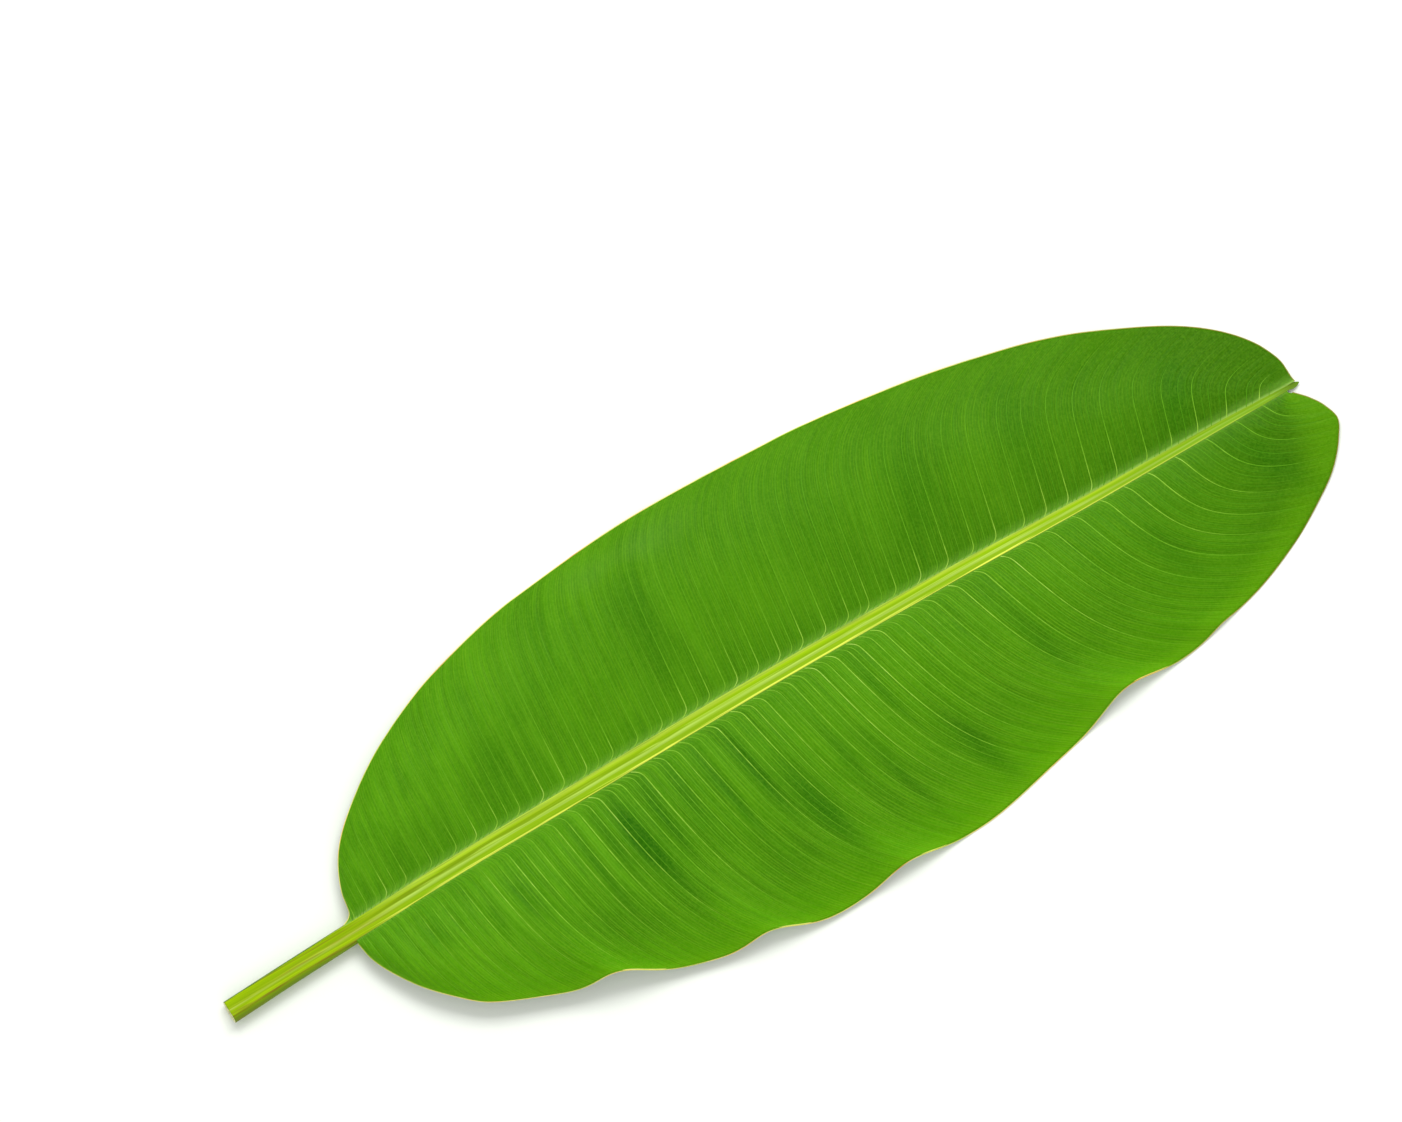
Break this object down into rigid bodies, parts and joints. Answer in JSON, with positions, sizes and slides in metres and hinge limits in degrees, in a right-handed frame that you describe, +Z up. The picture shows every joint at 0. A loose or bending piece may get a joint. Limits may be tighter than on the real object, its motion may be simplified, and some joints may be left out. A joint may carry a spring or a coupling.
{
  "type": "banana leaf",
  "caption": "Single cut banana leaf with a short stalk, lying face up, blade arched and waved along one margin.",
  "frame": {"origin": "on the surface that the leaf lies on, under the middle of the leaf's overall box", "axes": "+X along the midrib from the cut stalk to the tip, +Y to the half with the smooth margin, +Z up out of the leaf's upper face"},
  "size_m": [0.9298, 0.3303, 0.0276],
  "materials": {
    "banana_leaf": "satin, waxy fresh green"
  },
  "bodies": {
    "root": {"banana_leaf": "banana_leaf"}
  },
  "joints": []
}
